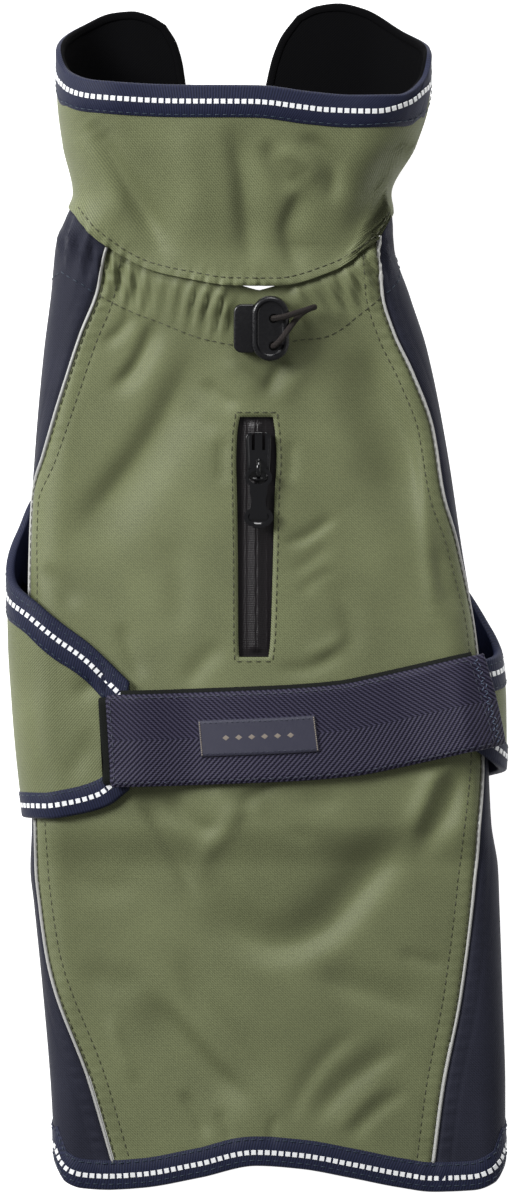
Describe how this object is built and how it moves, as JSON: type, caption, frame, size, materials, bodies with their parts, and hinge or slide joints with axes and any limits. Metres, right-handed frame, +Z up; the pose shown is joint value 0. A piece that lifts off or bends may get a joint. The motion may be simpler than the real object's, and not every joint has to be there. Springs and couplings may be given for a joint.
{
  "type": "dog winter coat",
  "caption": "Empty dog coat lying belly down: olive back, navy sides, bound funnel collar, belly wrap closed by a webbing belt, zip pocket and cord lock.",
  "frame": {"origin": "on the surface that the coat lies on, under the middle of its box", "axes": "+Y from the hem to the neck, +X to the coat's right seen from above, +Z up off the surface"},
  "size_m": [0.202, 0.4764, 0.057],
  "materials": {
    "back_panel": "coated olive twill",
    "side_panel_left": "coated navy twill",
    "side_panel_right": "coated navy twill",
    "piping_left": "grey reflective piping",
    "piping_right": "grey reflective piping",
    "hem_binding": "navy ribbed tape with a reflective ladder",
    "collar": "coated olive twill",
    "collar_lining": "black brushed lining",
    "collar_binding": "navy ribbed tape with a reflective ladder",
    "belly_panel": "coated olive twill",
    "belly_lining": "black brushed lining",
    "belly_binding_front": "navy ribbed tape with a reflective ladder",
    "belly_binding_rear": "navy ribbed tape with a reflective ladder",
    "belt": "navy herringbone webbing",
    "belt_backing": "black brushed lining",
    "loop_patch": "black brushed lining",
    "label": "navy herringbone webbing",
    "zip_tape": "black coated zip tape",
    "zip_slider": "black lacquered zinc",
    "zip_pull": "black lacquered zinc",
    "toggle_barrel": "black moulded plastic",
    "toggle_plunger": "black moulded plastic",
    "drawcord": "braided elastic"
  },
  "bodies": {
    "coat": {"back_panel": "back_panel", "side_panel_left": "side_panel_left", "side_panel_right": "side_panel_right", "piping_left": "piping_left", "piping_right": "piping_right", "hem_binding": "hem_binding", "collar": "collar", "collar_lining": "collar_lining", "collar_binding": "collar_binding", "belly_panel": "belly_panel", "belly_lining": "belly_lining", "belly_binding_front": "belly_binding_front", "belly_binding_rear": "belly_binding_rear", "belt": "belt", "belt_backing": "belt_backing", "loop_patch": "loop_patch", "label": "label", "zip_tape": "zip_tape", "zip_slider": "zip_slider", "toggle_barrel": "toggle_barrel", "drawcord": "drawcord"},
    "pull_tab": {"zip_pull": "zip_pull"},
    "plunger": {"toggle_plunger": "toggle_plunger"}
  },
  "joints": [
    {"name": "pull_tab_swing", "type": "hinge", "parent": "coat", "child": "pull_tab", "pos_m": [0.00041, 0.0521, 0.04135], "axis": [-1, 0, 0], "range_deg": [0, 150]},
    {"name": "plunger_press", "type": "slide", "parent": "coat", "child": "plunger", "axis": [1, 0, 0], "range_m": [0, 0.003], "stiffness_N_per_m": 60, "springref_m": -0.01}
  ]
}
